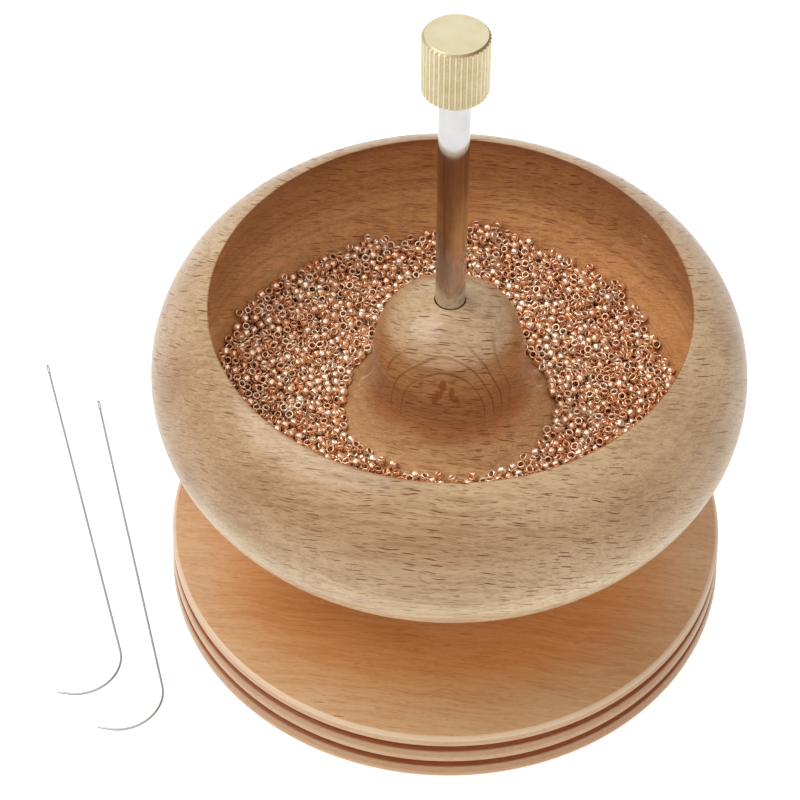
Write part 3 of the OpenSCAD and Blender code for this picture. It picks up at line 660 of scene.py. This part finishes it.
def bead_metal():
    """Rose gold, each bead a little different."""
    m = Mat("bead_rose_gold")
    each = m.node("ShaderNodeNewGeometry").outputs["Random Per Island"]
    tone = m.ramp(each, (0.0, (0.90, 0.54, 0.32)), (0.4, (0.95, 0.64, 0.43)), (0.8, (0.99, 0.76, 0.56)),
                  (1.0, (1.0, 0.86, 0.70)))
    fine = m.noise(m.place((2600, 2600, 2600)), 2)
    m.set(color=tone, metal=0.9, rough=m.band(fine, 0.2, 0.8, 0.22, 0.36), coat=0.6, coat_rough=0.12,
          normal=m.bump(fine, 0.1, 0.04 * MM))
    return m.material


# stands in for the beads deep in the pile; its dark colour is painted shade between the beads
def bead_core_painted_shade():
    m = Mat("bead_core_painted_shade")
    lumps = m.noise(m.place((900, 900, 900)), 3, 0.6)
    m.set(color=m.mix(lumps, (0.34, 0.13, 0.055), (0.6, 0.27, 0.13)), metal=0.5,
          rough=m.band(lumps, 0.2, 0.8, 0.4, 0.7), normal=m.bump(lumps, 0.8, 0.6 * MM))
    return m.material


plated = metal("zinc_plated", (0.6, 0.6, 0.63), 0.32, 0.15)
needle_steel = metal("needle_steel", (0.42, 0.42, 0.43), 0.28, 0.12, (1500, 1500, 1500))
bead_gold, pad_felt = bead_metal(), felt()
finishes = dict(
    spindle=metal("rod_steel", (0.55, 0.55, 0.56), 0.25, 0.1, (2500, 2500, 120)),
    spindle_washer=plated, spindle_nut=plated, thrust_washer=nylon(),
    lower_bush=metal("bush_brass", (0.78, 0.57, 0.27), 0.3, 0.12),
    handle_tube=metal("tube_steel", (0.70, 0.69, 0.685), 0.06, 0.03, (3000, 3000, 200)),
    knob=knob_brass(), pivot_ball=metal("ball_steel", (0.7, 0.7, 0.72), 0.08, 0.03),
    needle_a=needle_steel, needle_b=needle_steel,
    base_pad=pad_felt, seed_beads=bead_gold, bowl=bowl_wood, base=base_wood,
)
for name, material in finishes.items():
    nodes[name].data.materials.clear()
    nodes[name].data.materials.append(material)

# Turned wood

TURNED_SEGS = 256

bowl = lathe("bowl_turned", bowl_pts, TURNED_SEGS, bowl_wood)
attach(bowl, "bowl")
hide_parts("bowl")

base = lathe("base_turned", base_profile(), TURNED_SEGS, base_wood)
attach(base, "base")
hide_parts("base")

# Felt pad


def felt_pad():
    """Felt disc with a soft cut edge and a slightly uneven face."""
    rng = np.random.default_rng(5)
    segs, low_z, high_z, dips = 240, 0.05, PAD_T - 0.01, 0.012
    edge_wave, edge_fuzz, wave_counts = 0.05, 0.02, (2, 3, 5, 9, 14, 23)
    a = np.arange(segs) * 2 * math.pi / segs
    wave = sum(rng.uniform(0.3, 1.0) * np.sin(k * a + rng.uniform(0, 6.28)) for k in wave_counts) / 3.0
    fuzz = rng.normal(0, 1, segs)
    radii = [8 + 8.6 * i for i in range(7)]
    # radius, height, and how loose the cut edge is there
    outline = [(r, low_z, 0) for r in radii]
    outline += [(PAD_R - 0.5, low_z, 0.4), (PAD_R - 0.16, 0.22, 0.8), (PAD_R - 0.1, 0.7, 1.0)]
    outline += [(PAD_R - 0.16, PAD_T - 0.2, 0.8), (PAD_R - 0.5, PAD_T - 0.02, 0.4)]
    outline += [(r, high_z, 0) for r in reversed(radii)]
    bm = bmesh.new()
    rings = []
    for r, z, loose in outline:
        under = z < PAD_T / 2 and loose == 0
        dip = rng.normal(0, dips, segs) if under else np.zeros(segs)
        z_all = z + np.clip(dip, -0.04, 0.04)
        r_all = r + loose * (edge_wave * wave + edge_fuzz * fuzz)
        corners = zip(r_all * np.cos(a) * MM, r_all * np.sin(a) * MM, z_all * MM)
        rings.append([bm.verts.new(corner) for corner in corners])
    for low, high in zip(rings, rings[1:]):
        join_rings(bm, low, high)
    for ring in (rings[0], rings[-1]):
        middle = bm.verts.new((0, 0, ring[0].co.z))
        for k in range(segs):
            bm.faces.new((ring[k], ring[(k + 1) % segs], middle))
    return finish_mesh("felt_pad", bm, pad_felt, 60)


pad = felt_pad()
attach(pad, "base")
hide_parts("base_pad")

# Seed beads, in millimetres. While the pile settles each bead is a ball of SOFT_R.

BEAD_COUNT, BEAD_GROUPS, BEAD_SEGS = 3700, 8, 12
BEAD_R, BEAD_HOLE_R, SOFT_R = 1.07, 0.56, 1.06
BEAD_EDGE = [(BEAD_HOLE_R + 0.02, 0.48), (BEAD_HOLE_R + 0.1, 0.71), (0.79, 0.80), (0.93, 0.71), (1.03, 0.45)]
CORE_UP, CORE_GAP = 5.0, 0.3
POUR_FROM_R, POUR_TO_R, POUR_UP, POUR_SPILL, POUR_BATCH = 23.0, 55.5, 17.0, 1.25, 4000
SETTLE_STEPS, SETTLE_SLOW_FROM, SETTLE_FAST, SETTLE_SLOW = 110, 0.75, 0.06, 0.02
NEAR, NEAR_EVERY, PUSH, WALL_CLEAR = 2 * SOFT_R + 0.9, 8, 0.32, 0.12


def pile_top(r, a):
    """Height of the pile's surface at radius r and angle a, with its heaps at the left and the back right."""
    out = np.clip((r - 22) / 32, 0, 1)
    back = np.clip(np.sin(a), 0, 1) ** 2
    side = np.cos(a) ** 2
    rough = 0.35 * np.sin(3 * a + 0.8) + 0.3 * np.sin(5 * a + r * 0.16 + 2.1) + 0.25 * np.sin(9 * a - r * 0.3)
    left = 3.4 * np.exp(-(((a % (2 * np.pi)) - 2.75) / 0.45) ** 2)
    right = 2.4 * np.exp(-((a - 1.2) / 0.35) ** 2) + 3.0 * np.exp(-((a - 1.45) / 0.16) ** 2)
    heap = out * (1.3 + 1.0 * back - 0.8 * side) + out**2 * (left + right)
    return curve["floor"] + 8.2 + heap + rough * (0.2 + out * 0.7)


def pour(rng, under):
    """Beads in the air over the core, up to a little over the pile's surface."""
    p = np.zeros((0, 3))
    while len(p) < BEAD_COUNT:
        a = rng.uniform(0, 2 * math.pi, POUR_BATCH)
        r = np.sqrt(rng.uniform(POUR_FROM_R**2, POUR_TO_R**2, POUR_BATCH))
        z = rng.uniform(under, curve["floor"] + POUR_UP, POUR_BATCH)
        kept = z < under + (pile_top(r, a) - under) * POUR_SPILL
        p = np.concatenate([p, np.stack([r * np.cos(a), r * np.sin(a), z], 1)[kept]])
    return p[:BEAD_COUNT]


def near_pairs(p):
    """Pairs of beads that may touch in the next few steps."""
    order = np.argsort(p[:, 0])
    q = p[order]
    last = np.searchsorted(q[:, 0], q[:, 0] + NEAR)
    found = []
    for i in range(len(p)):
        off = np.abs(q[i + 1:last[i]] - q[i])
        j = np.nonzero((off[:, 1] < NEAR) & (off[:, 2] < NEAR))[0] + i + 1
        found.append(np.stack([np.full(len(j), i), j], 1))
    return order[np.concatenate(found)]


def push_apart(p, pairs):
    off = p[pairs[:, 1]] - p[pairs[:, 0]]
    gap = np.linalg.norm(off, axis=1) + 1e-9
    push = np.clip(2 * SOFT_R - gap, 0, None) * PUSH
    step = off / gap[:, None] * push[:, None]
    move = np.zeros_like(p)
    np.add.at(move, pairs[:, 0], -step)
    np.add.at(move, pairs[:, 1], step)
    p += np.clip(move, -0.5, 0.5)


def keep_inside(p):
    """Moves beads back from the hub's flare, the wall and the corner between wall and floor."""
    flare, wall, corner = curve["flare"], curve["wall"], curve["corner"]
    r = np.hypot(p[:, 0], p[:, 1])
    outward = p[:, :2] / r[:, None]
    curves = ((flare, flare[0] - NECK_R, -1), (wall, WALL_ARC, 1), (corner, CORNER_ARC, 1))
    for (cx, cz), radius, side in curves:
        dr, dz = r - cx, p[:, 2] - cz
        away = np.hypot(dr, dz)
        limit = radius - SOFT_R - WALL_CLEAR
        past = (away > limit) & (dr * side > 0)
        if side > 0:
            below = np.degrees(np.arctan2(dz, dr)) < WALL_END
            past &= below if radius == CORNER_ARC else ~below
        k = np.where(past, limit / np.maximum(away, 1e-6), 1)
        r = cx + dr * k
        p[:, 2] = cz + dz * k
        p[:, :2] = outward * r[:, None]


def settle(rng):
    """Centres of the loose beads that lie in the top of the trough."""
    under = curve["floor"] + CORE_UP
    p = pour(rng, under)
    for step in range(SETTLE_STEPS):
        if step % NEAR_EVERY == 0:
            pairs = near_pairs(p)
        p[:, 2] -= SETTLE_FAST if step < SETTLE_STEPS * SETTLE_SLOW_FROM else SETTLE_SLOW
        for _ in range(2):
            push_apart(p, pairs)
        p[:, 2] = np.maximum(p[:, 2], under)
        keep_inside(p)
    return p


def bead_shape():
    """Ring bead: rounded all round, open hole, axis along Z."""
    profile = [(BEAD_HOLE_R, 0.0)] + BEAD_EDGE + [(BEAD_R, 0.0)] + [(r, -z) for r, z in reversed(BEAD_EDGE)]
    rows, segs = len(profile), BEAD_SEGS
    verts = [[r * math.cos(2 * math.pi * k / segs), r * math.sin(2 * math.pi * k / segs), z]
             for r, z in profile for k in range(segs)]
    quads = []
    for i in range(rows):
        near, far = i * segs, (i + 1) % rows * segs
        quads += [(near + k, near + (k + 1) % segs, far + (k + 1) % segs, far + k) for k in range(segs)]
    return np.array(verts), np.array(quads)


def rotations(rng, count):
    """Turns that lay most beads flat or on edge at random."""
    axis = rng.normal(size=(count, 3))
    axis[:, 2] = np.abs(axis[:, 2]) * rng.choice([0.6, 1.4, 3.4], count, p=[0.25, 0.3, 0.45])
    axis /= np.linalg.norm(axis, axis=1)[:, None]
    helper = np.tile([1.0, 0.0, 0.0], (count, 1))
    helper[np.abs(axis[:, 0]) > 0.8] = (0, 1, 0)
    x = np.cross(helper, axis)
    x /= np.linalg.norm(x, axis=1)[:, None]
    y = np.cross(axis, x)
    return np.stack([x, y, axis], 2)


def quad_mesh(name, verts, quads):
    """A smooth mesh from arrays of corners in millimetres and of four-sided faces."""
    mesh = bpy.data.meshes.new(name)
    mesh.vertices.add(len(verts))
    mesh.vertices.foreach_set("co", (verts.reshape(-1) * MM).astype(np.float32))
    mesh.loops.add(quads.size)
    mesh.loops.foreach_set("vertex_index", quads.reshape(-1).astype(np.int32))
    mesh.polygons.add(len(quads))
    mesh.polygons.foreach_set("loop_start", np.arange(0, quads.size, 4, dtype=np.int32))
    mesh.update(calc_edges=True)
    mesh.validate()
    mesh.polygons.foreach_set("use_smooth", np.ones(len(mesh.polygons), bool))
    return mesh


def make_beads():
    rng = np.random.default_rng(11)
    p = settle(rng)
    turned = rotations(rng, BEAD_COUNT)
    size = rng.normal(1.0, 0.045, BEAD_COUNT).clip(0.88, 1.12)
    shape, quads = bead_shape()
    sector = (np.degrees(np.arctan2(p[:, 1], p[:, 0])) + 180) // (360 / BEAD_GROUPS)
    for group in range(BEAD_GROUPS):
        pick = np.where(np.clip(sector, 0, BEAD_GROUPS - 1) == group)[0]
        verts = np.einsum("nij,kj->nki", turned[pick], shape)
        verts = verts * size[pick][:, None, None] + p[pick][:, None, :]
        faces = quads[None] + (np.arange(len(pick)) * len(shape))[:, None, None]
        name = f"beads_{group + 1}"
        ob = add_object(name, quad_mesh(name, verts.reshape(-1, 3), faces.reshape(-1, 4)), bead_gold)
        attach(ob, "bowl")
        if group == 0:
            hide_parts("seed_beads")


make_beads()


def pile_core():
    """Body of the pile under the beads that show, darker than the beads as a painted shade in the gaps."""
    flare, corner, floor = curve["flare"], curve["corner"], curve["floor"]
    top = floor + CORE_UP - CORE_GAP
    flare_r, corner_r = flare[0] - NECK_R - CORE_GAP, CORNER_ARC - CORE_GAP
    hub_side = -180 + math.degrees(math.asin((flare[1] - top) / flare_r))
    wall_side = math.degrees(math.asin((top - corner[1]) / corner_r))
    outline = [ray(flare, flare_r, hub_side)] + arc(flare, flare_r, hub_side, -90, 4)
    outline += [(corner[0], floor + CORE_GAP)] + arc(corner, corner_r, -90, wall_side, 4)
    return lathe("bead_pile_core", outline, 96, bead_core_painted_shade())


core = pile_core()
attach(core, "bowl")

# Stage and light, in metres. Camera rays see the floor and the studio as white.

FLOOR_HALF, FLOOR_WHITE = 6.0, (0.9, 0.9, 0.9, 1)
FLOOR_GLOW = dict(glossy=0.1, plain=0.22, camera=0.4)
STUDIO_GLOW = dict(glossy=0.37, plain=0.55, camera=0.45)
WHITE = (1, 1, 1, 1)
LIGHT_AIM = (0, 0, 0.05)


def glow(tree, glossy, plain, camera):
    """Strength of a light source, by what kind of ray meets it."""
    path = tree.node("ShaderNodeLightPath").outputs
    return tree.scaled(path["Is Camera Ray"], camera, tree.scaled(path["Is Glossy Ray"], glossy, plain))


def make_floor():
    mesh = bpy.data.meshes.new("floor")
    s = FLOOR_HALF
    mesh.from_pydata([(-s, -s, 0), (s, -s, 0), (s, s, 0), (-s, s, 0)], [], [(0, 1, 2, 3)])
    white = bpy.data.materials.new("floor_white")
    tree = Nodes(white)
    paper = tree.node("ShaderNodeBsdfDiffuse", {"Color": FLOOR_WHITE}).outputs[0]
    light = tree.node("ShaderNodeEmission", {"Color": WHITE, "Strength": glow(tree, **FLOOR_GLOW)}).outputs[0]
    both = tree.node("ShaderNodeAddShader", {0: paper, 1: light}).outputs[0]
    tree.node("ShaderNodeOutputMaterial", {"Surface": both})
    add_object("floor", mesh, white)


def make_studio():
    world = bpy.data.worlds.new("studio")
    scene.world = world
    tree = Nodes(world)
    light = tree.node("ShaderNodeBackground", {"Color": WHITE, "Strength": glow(tree, **STUDIO_GLOW)})
    tree.node("ShaderNodeOutputWorld", {"Surface": light.outputs[0]})


def soft_light(name, place, size, power):
    light = bpy.data.lights.new(name, "AREA")
    light.shape = "DISK"
    light.size = size
    light.energy = power
    ob = bpy.data.objects.new(name, light)
    ob.location = place
    ob.rotation_euler = (Vector(LIGHT_AIM) - Vector(place)).to_track_quat("-Z", "Y").to_euler()
    scene.collection.objects.link(ob)


make_floor()
make_studio()
soft_light("key", (-0.6, 0.02, 1.22), 1.0, 8.4)
soft_light("fill", (0.5, -0.8, 0.8), 0.9, 1.0)

scene.view_settings.view_transform = "Standard"
